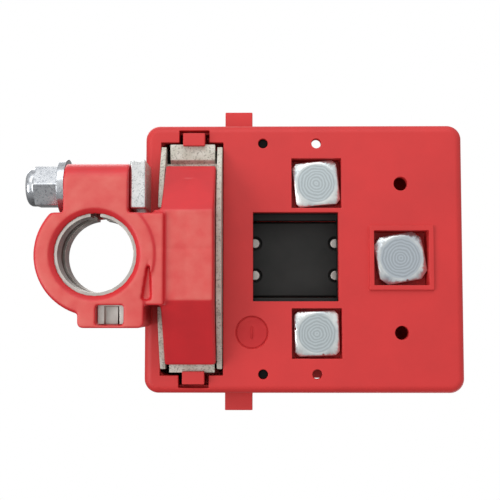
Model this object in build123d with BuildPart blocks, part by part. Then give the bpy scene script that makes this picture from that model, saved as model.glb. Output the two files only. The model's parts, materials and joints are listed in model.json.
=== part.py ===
from build123d import *
import os
from math import cos, radians, sin

# Battery switch with fuse box: a clamp for a battery post on a jacketed arm, held in a steel tray under a red
# base that carries three terminal studs, a strip fuse, two smaller fuses, a rotary switch and a hinged cover.
# Millimetres. +Z is up in use, X runs from the post towards the output stud, Y across the base.
# The origin lies on the post's axis, at the lower edge of the metal clamp band.

# ---- Driving dimensions ------------------------------------------------------------------------------------
POST_R = 9.5
BAND_H = 14.0
BAND_T = 2.0
JACKET_R = 15.4
JACKET_Z0 = -1.5
JACKET_Z1 = 15.5
LIP_R = 10.2
BEVEL_R = 11.6

BOLT_Y = -17.9
BOLT_Z = 7.25
M6_R = 3.0
BOLT_HEAD = 12.4
BOLT_HEAD_X0 = 8.4
BOLT_HEAD_X1 = 12.3
BOLT_END_X = -18.0
WASHER_X0 = -10.2
WASHER_X1 = -8.2
NUT_X0 = -16.4
NUT_AF = 10.0
COLLAR_X0 = -18.7

BASE_X0 = 10.2
BASE_X1 = 95.7
BASE_Y = 36.05
UNDERSIDE = 16.5
FLOOR_TOP = 19.0
RIM = 33.0
WALL = 2.0
BASE_CORNER = 3.8
UNDER_FILLET = 2.2
ROOF_TOP = 46.5
ROOF_T = 2.0
GAP = 0.3

SLOT_X0 = 14.5
SLOT_X1 = 31.3
SLOT_Y = 31.3
NOTCH_X0 = 19.4
NOTCH_X1 = 27.5
NOTCH_Y = 34.6
HOOK_X0 = 20.55
HOOK_X1 = 26.4
HOOK_TIP_Y = 30.1
HOOK_Y = 33.5

TRAY_X0 = 14.6
TRAY_X1 = 31.1
SHEET = 1.4
WEB_Z0 = 17.6
LAND_Z0 = 16.2
LAND_X0 = 17.0
LAND_X1 = 29.1

DRUM_X0 = 16.2
DRUM_X1 = 29.5
PLATEAU_X0 = 14.4
PLATEAU_Y = 11.3
PLATEAU_Z = 0.5
FLANK_Z = 12.5
DRUM_FRONT = -24.3
DRUM_REAR = 28.2
DRUM_STEP = 27.3

STUD_BASE_Z = 17.2
STUD_HEAD_T = 4.8
BOSS_TOP = 27.0
OUTPUT_X = 79.0
OUTPUT_HEAD = 13.0
OUTPUT_POCKET = 14.6
M8_R = 4.0
OUTPUT_END_Z = 42.0
OUTPUT_TURN = -10.5
SIDE_X = 56.4
SIDE_Y = 20.2
SIDE_HEAD = 12.0
SIDE_POCKET = 13.4
SIDE_END_Z = 38.5
SIDE_TURN = {-1: -6.0, 1: -2.0}
FRAME_SIZE = 17.2
FRAME_RISE = 0.8

WINDOW_X0 = 39.3
WINDOW_X1 = 62.2
WINDOW_Y0 = -12.3
WINDOW_Y1 = 11.6
SMALL_HOLE_R = 1.3
LARGE_HOLE_R = 1.85
PIN_HOLE_X = 42.0
EDGE_HOLE_Y = 31.0
DISC_X = 39.0
DISC_Y = 19.9
DISC_R = 4.4

FUSE_X0 = 37.3
FUSE_X1 = 64.4
FUSE_Y = 10.5
FUSE_Z0 = 24.5
FUSE_Z1 = 32.5
FUSE_MID_Z = 28.5
RIVET_X = (39.8, 62.0)
RIVET_Y = 4.45
RIVET_R = 1.35
STRIP_Z0 = 27.0
STRIP_T = 1.5

AXIS_X = 22.6
KNOB_R = 13.5
SPINDLE_R = 4.0
ROTOR_R = 9.6
CONTACT_Y = 7.4
CONTACT_Z = 32.5
BAR_Z0 = 33.6
BAR_Z1 = 36.1
TURRET_X1 = 38.2
TURRET_Y = 14.7
HOUSING_X1 = 30.7

HINGE_X = 93.0
HINGE_Z = 36.0
KNUCKLE_R = 2.7
HINGE_PIN_R = 1.5
COVER_X0 = 31.0
COVER_X1 = 90.0
SKIRT = 1.85

LATCH_X0 = 31.5
LATCH_X1 = 39.1
LATCH_AXIS_Y = 34.7
LATCH_AXIS_Z = 39.0
TAB_REACH_Y = 41.5

M3_R = 1.5
M5_R = 2.5

os.makedirs("parts", exist_ok=True)


# ---- Helpers -----------------------------------------------------------------------------------------------
def block(x0, x1, y0, y1, z0, z1, mode=Mode.ADD):
    """A box between two corners, added to the part being built."""
    with Locations(((x0 + x1) / 2, (y0 + y1) / 2, (z0 + z1) / 2)):
        return Box(x1 - x0, y1 - y0, z1 - z0, mode=mode)


def rod_z(x, y, r, z0, z1, mode=Mode.ADD):
    """An upright cylinder."""
    with Locations((x, y, (z0 + z1) / 2)):
        return Cylinder(r, z1 - z0, mode=mode)


def rod_x(y, z, r, x0, x1, mode=Mode.ADD):
    """A cylinder along X."""
    with Locations(((x0 + x1) / 2, y, z)):
        return Cylinder(r, x1 - x0, rotation=(0, 90, 0), mode=mode)


def rod_y(x, z, r, y0, y1, mode=Mode.ADD):
    """A cylinder along Y."""
    with Locations((x, (y0 + y1) / 2, z)):
        return Cylinder(r, y1 - y0, rotation=(90, 0, 0), mode=mode)


def mirror_pair(low, high, side):
    """The range low..high on the +Y side, or its mirror image on the -Y side."""
    return (low, high) if side > 0 else (-high, -low)


def save(shape, label):
    """Labels a finished piece and writes its STEP file."""
    shape.label = label
    export_step(shape, f"parts/{label}.step")


# ---- Clamp -------------------------------------------------------------------------------------------------
EAR_X = 1.2
EAR_T = 2.5
EAR_TIP_Y = -22.0
CLIP_X0, CLIP_X1 = 0.6, 7.2
CLIP_Y0, CLIP_Y1 = 12.9, 17.4
BAND_R = POST_R + BAND_T

with BuildPart() as clamp_band:
    rod_z(0, 0, BAND_R, 0, BAND_H)
    # Two clamping ears beside the split, and the folded clip opposite.
    for side in (-1, 1):
        ear_x = mirror_pair(EAR_X, EAR_X + EAR_T, side)
        block(*ear_x, EAR_TIP_Y, -8.5, 0.5, 13.5)
    block(CLIP_X0, CLIP_X1, 9.0, CLIP_Y1, 0.8, 13.0)
    rod_z(0, 0, POST_R, -1, BAND_H + 1, mode=Mode.SUBTRACT)
    # Relief groove round the middle of the bore.
    with BuildSketch(Plane.XY.offset(4.6)):
        Circle(POST_R + 0.7)
    extrude(amount=4.6, mode=Mode.SUBTRACT)
    block(-EAR_X, EAR_X, -14, -5, -1, BAND_H + 1, mode=Mode.SUBTRACT)
    # The clip's open channel: a land set back between two upright legs, with a slit beside the outer leg.
    block(CLIP_X0 + 1.7, CLIP_X1 - 1.7, CLIP_Y0, CLIP_Y1 + 1, -1, 2.6, mode=Mode.SUBTRACT)
    block(CLIP_X1 - 1.7, CLIP_X1 - 1.1, CLIP_Y0, CLIP_Y1 + 1, -1, 9.0, mode=Mode.SUBTRACT)
    rod_x(BOLT_Y, BOLT_Z, M6_R + 0.3, -6, 6, mode=Mode.SUBTRACT)

# ---- Arm conductor -----------------------------------------------------------------------------------------
RISER_X0, RISER_X1 = 17.6, 27.6
RISER_Y0, RISER_Y1 = -9.9, -7.7
PAD_X0, PAD_X1 = 18.6, 26.6
PAD_IN_Y = 4.9
PAD_Z0, PAD_Z1 = 29.5, 31.7
ARM_Z0, ARM_Z1 = 6.0, 8.5
SLEEVE = 0.8

with BuildPart() as arm_conductor:
    block(9.0, RISER_X1, RISER_Y0, 5.0, ARM_Z0, ARM_Z1)
    block(RISER_X0, RISER_X1, RISER_Y0, RISER_Y1, ARM_Z0, PAD_Z1)
    block(PAD_X0, PAD_X1, RISER_Y0, -PAD_IN_Y, PAD_Z0, PAD_Z1)
    rod_z(0, 0, BAND_R, 0, BAND_H, mode=Mode.SUBTRACT)

# ---- Clamp jacket ------------------------------------------------------------------------------------------
BOSS_X0, BOSS_X1 = -8.0, 8.2
BOSS_Y0 = -23.3
BOSS_ROUND = 5.0
FOOT_X0, FOOT_X1 = -4.1, 12.3
FOOT_Y1 = 18.3
NECK_Y0, NECK_Y1 = -10.5, 12.6
NECK_Z1 = 13.0
EDGE_R = 1.2
TRAY_SCREW_Y = (-14.5, 14.5)
TRAY_SCREW_Z0 = 12.0

with BuildPart() as clamp_jacket:
    # Ring, with its shoulder cut square beside the boss.
    rod_z(0, 0, JACKET_R, JACKET_Z0, JACKET_Z1)
    fillet(clamp_jacket.edges().filter_by(GeomType.CIRCLE), EDGE_R)
    block(-20, BOSS_X0, -20, NECK_Y0, -5, 20, mode=Mode.SUBTRACT)
    block(BOSS_X1, 20, -20, NECK_Y0, -5, 20, mode=Mode.SUBTRACT)
    # Boss round the clamp bolt.
    block(BOSS_X0, BOSS_X1, BOSS_Y0, -4, JACKET_Z0, JACKET_Z1)
    boss_edges = clamp_jacket.edges().filter_by(Axis.X).group_by(Axis.Y)[0]
    fillet(boss_edges, BOSS_ROUND)
    # Foot over the clip.
    with BuildSketch(Plane.XY.offset(JACKET_Z0)):
        with Locations(((FOOT_X0 + FOOT_X1) / 2, FOOT_Y1 / 2)):
            RectangleRounded(FOOT_X1 - FOOT_X0, FOOT_Y1, 1.2)
    extrude(amount=JACKET_Z1 - JACKET_Z0)
    # Room over the ring's inner side for the tray's flange, then the neck to the drum.
    block(TRAY_X0 - 0.4, 20, -20, 20, NECK_Z1, JACKET_Z1 + 1, mode=Mode.SUBTRACT)
    block(4, DRUM_X0 + 1, NECK_Y0, NECK_Y1, JACKET_Z0 + 0.6, NECK_Z1)
    # Shallow tapering valley between the ring and the drum.
    with BuildSketch(Plane.XY.offset(JACKET_Z0)):
        with BuildLine():
            Polyline((11.7, NECK_Y1 - 1.2), (14.2, NECK_Y1 - 1.2), (13.7, -1.5), close=True)
        make_face()
    extrude(amount=1.6, mode=Mode.SUBTRACT)
    # Drum: a flat plateau with a long flank down each way, cut as one profile.
    with BuildSketch(Plane.YZ.offset(DRUM_X0)):
        with BuildLine():
            Polyline(
                (-PLATEAU_Y, PLATEAU_Z), (PLATEAU_Y, PLATEAU_Z), (DRUM_REAR, FLANK_Z),
                (DRUM_REAR, LAND_Z0 - GAP), (DRUM_STEP, LAND_Z0 - GAP), (DRUM_STEP, WEB_Z0),
                (DRUM_FRONT, WEB_Z0), (DRUM_FRONT, FLANK_Z), close=True,
            )
        make_face()
    extrude(amount=DRUM_X1 - DRUM_X0)
    block(PLATEAU_X0, DRUM_X0 + 1, -PLATEAU_Y, PLATEAU_Y, PLATEAU_Z, NECK_Z1)
    # Sleeve that carries the riser through the tray.
    block(
        RISER_X0 - SLEEVE, RISER_X1 + SLEEVE, RISER_Y0 - SLEEVE, RISER_Y1 + SLEEVE, WEB_Z0 - 1, FLOOR_TOP + 2,
    )
    # Hollow for the band and its ears, bore, and bevelled rim.
    rod_z(0, 0, BAND_R, 0, BAND_H, mode=Mode.SUBTRACT)
    rod_z(0, 0, LIP_R, JACKET_Z0 - 1, JACKET_Z1 + 1, mode=Mode.SUBTRACT)
    with Locations((0, 0, JACKET_Z0 + 0.6)):
        Cone(BEVEL_R, LIP_R, 1.2, mode=Mode.SUBTRACT)
    ear_end = EAR_X + EAR_T
    block(-ear_end, ear_end, EAR_TIP_Y, -8.5, 0.5, 13.5, mode=Mode.SUBTRACT)
    block(CLIP_X0, CLIP_X1, 9.0, CLIP_Y1, 0.8, 13.0, mode=Mode.SUBTRACT)
    # Window in the foot that shows the clip.
    block(CLIP_X0 - 0.2, CLIP_X1 + 0.2, CLIP_Y0 - 0.3, CLIP_Y1 + 0.2, -5, 0.9, mode=Mode.SUBTRACT)
    rod_x(BOLT_Y, BOLT_Z, M6_R + 0.2, BOSS_X0 - 1, BOSS_X1 + 1, mode=Mode.SUBTRACT)
    add(arm_conductor.part, mode=Mode.SUBTRACT)
    for screw_y in TRAY_SCREW_Y:
        rod_z(AXIS_X, screw_y, M3_R, TRAY_SCREW_Z0, WEB_Z0 + 1, mode=Mode.SUBTRACT)

# ---- Clamp fasteners ---------------------------------------------------------------------------------------
with BuildPart() as clamp_bolt:
    half_head = BOLT_HEAD / 2
    head_y = (BOLT_Y - half_head, BOLT_Y + half_head)
    block(BOLT_HEAD_X0, BOLT_HEAD_X1, *head_y, BOLT_Z - half_head, BOLT_Z + half_head)
    fillet(clamp_bolt.edges(), 0.5)
    rod_x(BOLT_Y, BOLT_Z, M6_R, BOLT_END_X, BOLT_HEAD_X0 + 1)

with BuildPart() as clamp_washer:
    rod_x(BOLT_Y, BOLT_Z, 7.2, WASHER_X0, WASHER_X1)
    rod_x(BOLT_Y, BOLT_Z, M6_R + 0.2, WASHER_X0 - 1, WASHER_X1 + 1, mode=Mode.SUBTRACT)

with BuildPart() as clamp_nut:
    with BuildSketch(Plane.YZ.offset(NUT_X0)):
        with Locations((BOLT_Y, BOLT_Z)):
            RegularPolygon(NUT_AF / 2, 6, major_radius=False, rotation=30)
    extrude(amount=WASHER_X0 - NUT_X0)
    rod_x(BOLT_Y, BOLT_Z, NUT_AF / 2, COLLAR_X0, NUT_X0)
    fillet(clamp_nut.edges().filter_by(GeomType.CIRCLE).sort_by(Axis.X)[0], 1.4)
    rod_x(BOLT_Y, BOLT_Z, M6_R, COLLAR_X0 - 1, WASHER_X0 + 1, mode=Mode.SUBTRACT)
    rod_x(BOLT_Y, BOLT_Z, 4.0, NUT_X0 - 0.9, NUT_X0 + 0.6, mode=Mode.SUBTRACT)

with BuildPart() as clamp_nut_insert:
    rod_x(BOLT_Y, BOLT_Z, 4.0, NUT_X0 - 0.9, NUT_X0 + 0.6)
    rod_x(BOLT_Y, BOLT_Z, M6_R, NUT_X0 - 2, NUT_X0 + 2, mode=Mode.SUBTRACT)

# ---- Steel tray --------------------------------------------------------------------------------------------
FLANGE_Y0, FLANGE_Y1 = -30.0, 29.6
FLANGE_TIP_Z = 16.3
FLANGE_LOW_Z = 8.2
FLANGE_LOW_Y = 11.0
FLANGE_BOW = 1.1
WEB_Y0, WEB_Y1 = -25.6, 28.2


def land_profile(start, bend, end, thickness):
    """Outline of a land that steps down from the web and runs out to the tray's end."""
    direction = 1 if end > start else -1
    inner = bend - 0.8 * direction
    return [
        (start, WEB_Z0), (inner, WEB_Z0), (bend, LAND_Z0), (end, LAND_Z0),
        (end, LAND_Z0 + thickness), (bend + 0.6 * direction, LAND_Z0 + thickness),
        (inner + 0.6 * direction, WEB_Z0 + thickness), (start, WEB_Z0 + thickness),
    ]


with BuildPart() as contact_tray:
    block(TRAY_X0, TRAY_X1, WEB_Y0, WEB_Y1 - 0.8, WEB_Z0, FLOOR_TOP)
    for flange_x in (TRAY_X0, TRAY_X1 - SHEET):
        with BuildSketch(Plane.YZ.offset(flange_x)):
            with BuildLine():
                Polyline(
                    (-FLANGE_LOW_Y, FLANGE_LOW_Z), (FLANGE_LOW_Y, FLANGE_LOW_Z),
                )
                rear_mid = ((FLANGE_LOW_Y + FLANGE_Y1) / 2, (FLANGE_LOW_Z + FLANGE_TIP_Z) / 2 - FLANGE_BOW)
                ThreePointArc((FLANGE_LOW_Y, FLANGE_LOW_Z), rear_mid, (FLANGE_Y1, FLANGE_TIP_Z))
                Polyline(
                    (FLANGE_Y1, FLANGE_TIP_Z), (FLANGE_Y1, FLOOR_TOP), (FLANGE_Y0, FLOOR_TOP),
                    (FLANGE_Y0, FLANGE_TIP_Z),
                )
                front_mid = ((-FLANGE_LOW_Y + FLANGE_Y0) / 2, (FLANGE_LOW_Z + FLANGE_TIP_Z) / 2 - FLANGE_BOW)
                ThreePointArc((FLANGE_Y0, FLANGE_TIP_Z), front_mid, (-FLANGE_LOW_Y, FLANGE_LOW_Z))
            make_face()
        extrude(amount=SHEET)
    for start, bend, end in ((-24.0, WEB_Y0 - 0.8, -30.7), (26.0, WEB_Y1, 30.5)):
        with BuildSketch(Plane.YZ.offset(LAND_X0)):
            with BuildLine():
                Polyline(*land_profile(start, bend, end, SHEET), close=True)
            make_face()
        extrude(amount=LAND_X1 - LAND_X0)
    # Opening in the left flange for the neck, and in the web for the riser's sleeve.
    neck_gap = (NECK_Y0 - 2.3, NECK_Y1 + 0.4)
    block(TRAY_X0 - 1, TRAY_X0 + SHEET + 0.1, *neck_gap, 0, NECK_Z1 + 0.4, mode=Mode.SUBTRACT)
    block(
        RISER_X0 - SLEEVE, RISER_X1 + SLEEVE, RISER_Y0 - SLEEVE, RISER_Y1 + SLEEVE, 15, 22, mode=Mode.SUBTRACT,
    )
    for screw_y in TRAY_SCREW_Y:
        rod_z(AXIS_X, screw_y, M3_R, 15, 22, mode=Mode.SUBTRACT)

with BuildPart() as tray_screws:
    for screw_y in TRAY_SCREW_Y:
        rod_z(AXIS_X, screw_y, M3_R, TRAY_SCREW_Z0, FLOOR_TOP + 0.5)
        rod_z(AXIS_X, screw_y, 2.8, FLOOR_TOP, FLOOR_TOP + 1.5)

# ---- Base --------------------------------------------------------------------------------------------------
BASE_MID_X = (BASE_X0 + BASE_X1) / 2
BASE_LENGTH = BASE_X1 - BASE_X0
CORNER_SCREWS = [(13.4, 32.9), (13.4, -32.9), (28.2, 32.6), (28.2, -32.6)]
BOSS_WALL = 2.0
LUG_Y = ((10.0, 16.0), (24.0, 30.0))
OUTPUT_EXIT_Y = 6.5
OUTPUT_EXIT_Z = 21.5
SIDE_EXIT = 5.6
SIDE_EXIT_Z = 24.0
ARCH_TOP = 38.5
LATCH_SLOT_Z = 27.5
CRADLE_X = (WINDOW_X0 - 1.4, WINDOW_X1 + 1.4)
CRADLE_Y = (WINDOW_Y0 - 0.6, WINDOW_Y1 + 0.6)
CRADLE_TOP = 24.0
CRADLE_OPEN_Y = 10.6

with BuildPart() as base_housing:
    with BuildSketch(Plane.XY.offset(UNDERSIDE)):
        with Locations((BASE_MID_X, 0)):
            RectangleRounded(BASE_LENGTH, 2 * BASE_Y, BASE_CORNER)
    extrude(amount=RIM - UNDERSIDE)
    fillet(base_housing.faces().sort_by(Axis.Z)[0].edges(), UNDER_FILLET)
    with BuildSketch(Plane.XY.offset(FLOOR_TOP)):
        with Locations((BASE_MID_X, 0)):
            RectangleRounded(BASE_LENGTH - 2 * WALL, 2 * (BASE_Y - WALL), BASE_CORNER - WALL)
    extrude(amount=RIM, mode=Mode.SUBTRACT)
    # Square bosses over the stud pockets, and the raised frame round the output stud's head.
    out_half = OUTPUT_POCKET / 2 + 1.4
    block(OUTPUT_X - out_half, OUTPUT_X + out_half, -out_half, out_half, FLOOR_TOP - 1, BOSS_TOP)
    side_half = SIDE_POCKET / 2 + BOSS_WALL
    for side in (-1, 1):
        block(
            SIDE_X - side_half, SIDE_X + side_half, side * SIDE_Y - side_half, side * SIDE_Y + side_half,
            FLOOR_TOP - 1, BOSS_TOP,
        )
    frame_half = FRAME_SIZE / 2
    frame_x = (OUTPUT_X - frame_half, OUTPUT_X + frame_half)
    block(*frame_x, -frame_half, frame_half, UNDERSIDE - FRAME_RISE, UNDERSIDE + 1)
    block(WINDOW_X0, WINDOW_X1, WINDOW_Y0, WINDOW_Y1, UNDERSIDE - 2, FLOOR_TOP + 1, mode=Mode.SUBTRACT)
    block(*CRADLE_X, *CRADLE_Y, FLOOR_TOP, BOSS_TOP + 1, mode=Mode.SUBTRACT)
    # Stud pockets and clearance holes.
    pocket_top = STUD_BASE_Z + STUD_HEAD_T
    out_half = OUTPUT_POCKET / 2
    pocket_x = (OUTPUT_X - out_half, OUTPUT_X + out_half)
    block(*pocket_x, -out_half, out_half, UNDERSIDE - 2, pocket_top, mode=Mode.SUBTRACT)
    rod_z(OUTPUT_X, 0, M8_R, UNDERSIDE, BOSS_TOP + 1, mode=Mode.SUBTRACT)
    side_half = SIDE_POCKET / 2
    for side in (-1, 1):
        block(
            SIDE_X - side_half, SIDE_X + side_half, side * SIDE_Y - side_half, side * SIDE_Y + side_half,
            UNDERSIDE - 2, pocket_top, mode=Mode.SUBTRACT,
        )
        rod_z(SIDE_X, side * SIDE_Y, M6_R, UNDERSIDE, BOSS_TOP + 1, mode=Mode.SUBTRACT)
    # Slot for the tray, with room at each end for the moulding of its snap hook.
    block(SLOT_X0, SLOT_X1, -SLOT_Y, SLOT_Y, UNDERSIDE - 2, FLOOR_TOP + 1, mode=Mode.SUBTRACT)
    block(NOTCH_X0, NOTCH_X1, -NOTCH_Y, NOTCH_Y, UNDERSIDE - 2, FLOOR_TOP + 1, mode=Mode.SUBTRACT)
    for side in (-1, 1):
        stem = mirror_pair(SLOT_Y - 0.3, HOOK_Y, side)
        head = mirror_pair(HOOK_TIP_Y, HOOK_Y, side)
        bridge = mirror_pair(SLOT_Y - 0.3, BASE_Y - 1, side)
        block(HOOK_X0, HOOK_X1, *stem, LAND_Z0 - 1.6, RIM - 6)
        block(HOOK_X0, HOOK_X1, *head, LAND_Z0 - 1.6, LAND_Z0)
        block(HOOK_X0, HOOK_X1, *bridge, RIM - 8, RIM - 6)
    # Round holes in the floor.
    for side in (-1, 1):
        for hole_x in (PIN_HOLE_X, SIDE_X):
            rod_z(hole_x, side * EDGE_HOLE_Y, SMALL_HOLE_R, UNDERSIDE - 1, FLOOR_TOP + 1, mode=Mode.SUBTRACT)
        rod_z(OUTPUT_X, side * 20.0, LARGE_HOLE_R, UNDERSIDE - 1, FLOOR_TOP + 1, mode=Mode.SUBTRACT)
    # Mould date disc: a shallow ring with a pointer line.
    rod_z(DISC_X, DISC_Y, DISC_R, UNDERSIDE - 1, UNDERSIDE + 0.4, mode=Mode.SUBTRACT)
    rod_z(DISC_X, DISC_Y, DISC_R - 0.35, UNDERSIDE + 0.2, UNDERSIDE + 0.5)
    block(DISC_X - 0.25, DISC_X + 0.25, DISC_Y - 1.6, DISC_Y + 1.6, UNDERSIDE + 0.05, UNDERSIDE + 0.5)
    # Screw bosses for the switch housing.
    for number, (screw_x, screw_y) in enumerate(CORNER_SCREWS):
        boss_z0 = FLOOR_TOP - 0.5 if number < 2 else RIM - 9
        rod_z(screw_x, screw_y, 2.6, boss_z0, RIM)
    # Hinge lugs.
    for side in (-1, 1):
        for low, high in LUG_Y:
            lug = mirror_pair(low, high, side)
            block(HINGE_X - KNUCKLE_R, BASE_X1, *lug, RIM - 5, HINGE_Z)
            rod_y(HINGE_X, HINGE_Z, KNUCKLE_R, *lug)
    rod_y(HINGE_X, HINGE_Z, HINGE_PIN_R, -32, 32, mode=Mode.SUBTRACT)
    for screw_x, screw_y in CORNER_SCREWS:
        rod_z(screw_x, screw_y, M3_R, RIM - 8, RIM + 1, mode=Mode.SUBTRACT)
    # Cable exits and the two latch slots in the rim.
    block(BASE_X1 - 4, BASE_X1 + 1, -OUTPUT_EXIT_Y, OUTPUT_EXIT_Y, OUTPUT_EXIT_Z, RIM + 1, mode=Mode.SUBTRACT)
    for side in (-1, 1):
        wall_y = mirror_pair(BASE_Y - WALL - 0.5, BASE_Y + 1, side)
        block(SIDE_X - SIDE_EXIT, SIDE_X + SIDE_EXIT, *wall_y, SIDE_EXIT_Z, RIM + 1, mode=Mode.SUBTRACT)
        block(LATCH_X0 - 0.4, LATCH_X1 - 0.2, *wall_y, LATCH_SLOT_Z, RIM + 1, mode=Mode.SUBTRACT)

# ---- Fuse cradle -------------------------------------------------------------------------------------------
with BuildPart() as fuse_cradle:
    block(*CRADLE_X, *CRADLE_Y, FLOOR_TOP, CRADLE_TOP)
    open_y = (-CRADLE_OPEN_Y, CRADLE_OPEN_Y)
    block(WINDOW_X0, WINDOW_X1, *open_y, FLOOR_TOP - 1, CRADLE_TOP + 1, mode=Mode.SUBTRACT)
    # Ledges under the fuse's long sides stand back from the window's lower edge.
    block(WINDOW_X0, WINDOW_X1, WINDOW_Y0, WINDOW_Y1, FLOOR_TOP - 1, CRADLE_TOP - 2, mode=Mode.SUBTRACT)

# ---- Insulating plate, inserts and busbar ------------------------------------------------------------------
PLATEAU_TOP = 24.5
INSERT_R = 3.5
BUS_SCREWS = [(AXIS_X, 0.0), (26.4, SIDE_Y), (26.4, -SIDE_Y)]

with BuildPart() as insulating_plate:
    block(12.6, 36.5, -29.5, 29.5, FLOOR_TOP, 21.0)
    block(14.4, 34.2, -27.0, 27.0, 20.0, PLATEAU_TOP)
    for side in (-1, 1):
        block(35.0, 45.5, *mirror_pair(26.0, 33.4, side), FLOOR_TOP, 21.0)
        rod_z(PIN_HOLE_X, side * EDGE_HOLE_Y, SMALL_HOLE_R, UNDERSIDE + 0.8, FLOOR_TOP + 1)
    # Passage for the riser and its sleeve.
    block(
        RISER_X0 - SLEEVE, RISER_X1 + SLEEVE, RISER_Y0 - SLEEVE, RISER_Y1 + SLEEVE, 18, 26, mode=Mode.SUBTRACT,
    )
    for insert_x, insert_y in BUS_SCREWS:
        rod_z(insert_x, insert_y, INSERT_R, FLOOR_TOP + 0.6, PLATEAU_TOP + 1, mode=Mode.SUBTRACT)
    for screw_y in TRAY_SCREW_Y:
        rod_z(AXIS_X, screw_y, 3.0, 18, 20.7, mode=Mode.SUBTRACT)

with BuildPart() as threaded_inserts:
    for insert_x, insert_y in BUS_SCREWS:
        rod_z(insert_x, insert_y, INSERT_R, FLOOR_TOP + 0.6, PLATEAU_TOP)
        rod_z(insert_x, insert_y, M5_R, FLOOR_TOP, PLATEAU_TOP + 1, mode=Mode.SUBTRACT)

with BuildPart() as supply_busbar:
    block(17.0, 34.0, -5.2, -RISER_Y0, PLATEAU_TOP, STRIP_Z0)
    block(28.4, 34.0, -26.0, 26.0, PLATEAU_TOP, STRIP_Z0)
    for side in (-1, 1):
        block(21.0, 34.0, *mirror_pair(14.4, 26.0, side), PLATEAU_TOP, STRIP_Z0)
    # Fixed contact on its own riser.
    block(PAD_X0, PAD_X1, -RISER_Y1, -RISER_Y0, PLATEAU_TOP, PAD_Z1)
    block(PAD_X0, PAD_X1, PAD_IN_Y, -RISER_Y0, PAD_Z0, PAD_Z1)
    for insert_x, insert_y in BUS_SCREWS:
        rod_z(insert_x, insert_y, M5_R, 20, 30, mode=Mode.SUBTRACT)

with BuildPart() as fixed_contacts:
    for side in (-1, 1):
        rod_z(AXIS_X, side * CONTACT_Y, 2.2, PAD_Z1, CONTACT_Z)

with BuildPart() as busbar_screws:
    for number, (screw_x, screw_y) in enumerate(BUS_SCREWS):
        seat = STRIP_Z0 + (STRIP_T if number == 0 else 1.0)
        rod_z(screw_x, screw_y, M5_R, FLOOR_TOP + 1.5, seat + 0.5)
        rod_z(screw_x, screw_y, 4.3, seat, seat + 2.6)
        rod_z(screw_x, screw_y, 1.6, seat + 1.2, seat + 3, mode=Mode.SUBTRACT)

# ---- Studs, washers and nuts -------------------------------------------------------------------------------
OUTPUT_CORNER = 2.0
SIDE_CORNER = 1.1
DISC_SHARE = 0.44
DISC_SLOPE = 0.42
TIP_CHAMFER = 0.6
NUT_CORNER = 0.57
NUT_CHAMFER = 0.8
WASHER_T = 1.6
SIDE_SEAT = STRIP_Z0 + 1.0
SIDE_NUT_H = 5.0
SIDE_PILOT_R = 2.8
OUTPUT_SEAT = STRIP_Z0 + STRIP_T
OUTPUT_NUT_H = 6.5
OUTPUT_PILOT_R = 3.8
PILOT_GAP = 0.2


def stud(x, y, head, corner, turn, r, end_z, pilot_r, pilot_z):
    """A stud: square head turned down round a flat disc, and a slightly thinner pilot end above the nut."""
    disc_r = head * DISC_SHARE
    with BuildPart() as blank:
        with Locations((x, y, STUD_BASE_Z + STUD_HEAD_T / 2)):
            Cone(disc_r, disc_r + STUD_HEAD_T / DISC_SLOPE, STUD_HEAD_T)
    with BuildPart() as made:
        with BuildSketch(Plane.XY.offset(STUD_BASE_Z)):
            with Locations(Location((x, y), turn)):
                Rectangle(head, head)
        extrude(amount=STUD_HEAD_T)
        chamfer(made.edges().filter_by(Axis.Z), corner)
        add(blank.part, mode=Mode.INTERSECT)
        rod_z(x, y, r, STUD_BASE_Z + STUD_HEAD_T - 1, pilot_z)
        rod_z(x, y, pilot_r, pilot_z - 1, end_z)
        chamfer(made.faces().sort_by(Axis.Z)[-1].edges(), TIP_CHAMFER)
    return made.part


def hex_nut(x, y, across_flats, height, r, z0):
    """A hexagon nut with its upper corners chamfered round."""
    with BuildPart() as blank:
        rod_z(x, y, across_flats * NUT_CORNER, z0, z0 + height)
        chamfer(blank.faces().sort_by(Axis.Z)[-1].edges(), NUT_CHAMFER)
    with BuildPart() as made:
        with BuildSketch(Plane.XY.offset(z0)):
            with Locations((x, y)):
                RegularPolygon(across_flats / 2, 6, major_radius=False)
        extrude(amount=height)
        add(blank.part, mode=Mode.INTERSECT)
        rod_z(x, y, r, z0 - 1, z0 + height + 1, mode=Mode.SUBTRACT)
    return made.part


def washer(x, y, outer, r, z0, z1):
    """A plain round washer."""
    with BuildPart() as made:
        rod_z(x, y, outer, z0, z1)
        rod_z(x, y, r, z0 - 1, z1 + 1, mode=Mode.SUBTRACT)
    return made.part


output_pilot_z = OUTPUT_SEAT + WASHER_T + OUTPUT_NUT_H + PILOT_GAP
side_pilot_z = SIDE_SEAT + WASHER_T + SIDE_NUT_H + PILOT_GAP
output_place = (OUTPUT_X, 0)
output_stud = stud(
    *output_place, OUTPUT_HEAD, OUTPUT_CORNER, OUTPUT_TURN, M8_R, OUTPUT_END_Z, OUTPUT_PILOT_R, output_pilot_z,
)
save(output_stud, "output_stud")
save(washer(*output_place, 7.9, M8_R, OUTPUT_SEAT, OUTPUT_SEAT + WASHER_T), "output_washer")
save(hex_nut(*output_place, 13.0, OUTPUT_NUT_H, M8_R, OUTPUT_SEAT + WASHER_T), "output_nut")
side_pieces = {"side_studs": [], "side_washers": [], "side_nuts": []}
for side in (-1, 1):
    place = (SIDE_X, side * SIDE_Y)
    side_stud = stud(
        *place, SIDE_HEAD, SIDE_CORNER, SIDE_TURN[side], M6_R, SIDE_END_Z, SIDE_PILOT_R, side_pilot_z,
    )
    side_pieces["side_studs"].append(side_stud)
    side_pieces["side_washers"].append(washer(*place, 6.0, M6_R, SIDE_SEAT, SIDE_SEAT + WASHER_T))
    side_pieces["side_nuts"].append(hex_nut(*place, NUT_AF, SIDE_NUT_H, M6_R, SIDE_SEAT + WASHER_T))
for name, solids in side_pieces.items():
    save(Compound(children=solids), name)

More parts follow.
